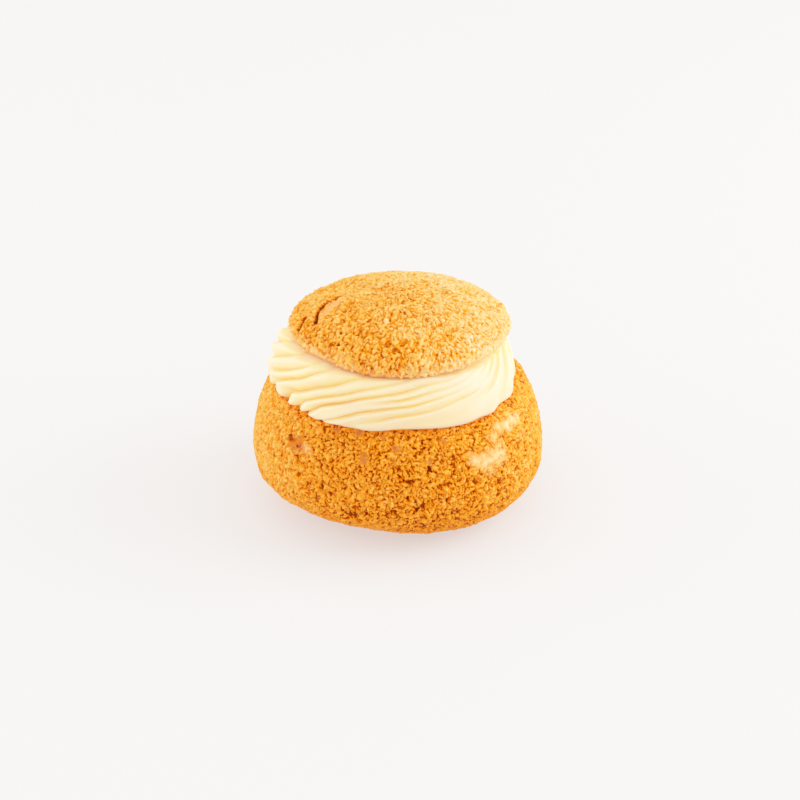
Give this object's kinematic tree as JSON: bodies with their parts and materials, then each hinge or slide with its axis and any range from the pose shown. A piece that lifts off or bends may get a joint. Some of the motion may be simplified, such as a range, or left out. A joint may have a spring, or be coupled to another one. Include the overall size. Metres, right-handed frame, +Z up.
{
  "type": "cream puff",
  "caption": "Round choux bun with a crackled biscuit crust, cut near the top and filled with a star-piped ring of custard cream under its domed lid.",
  "frame": {"origin": "under the middle of the puff, on the surface it stands on", "axes": "+Z up, -Y to the front where the crack in the lid is at the left, +X to the right"},
  "size_m": [0.0772, 0.077, 0.0576],
  "materials": {
    "base_crust": "rough, dry, golden-brown crumbled biscuit crust",
    "cream": "smooth, softly shining pale yellow cream",
    "lid_crust": "rough, dry, light golden crumbled biscuit crust"
  },
  "bodies": {
    "root": {"base": "base_crust", "cream": "cream", "lid": "lid_crust"}
  },
  "joints": []
}
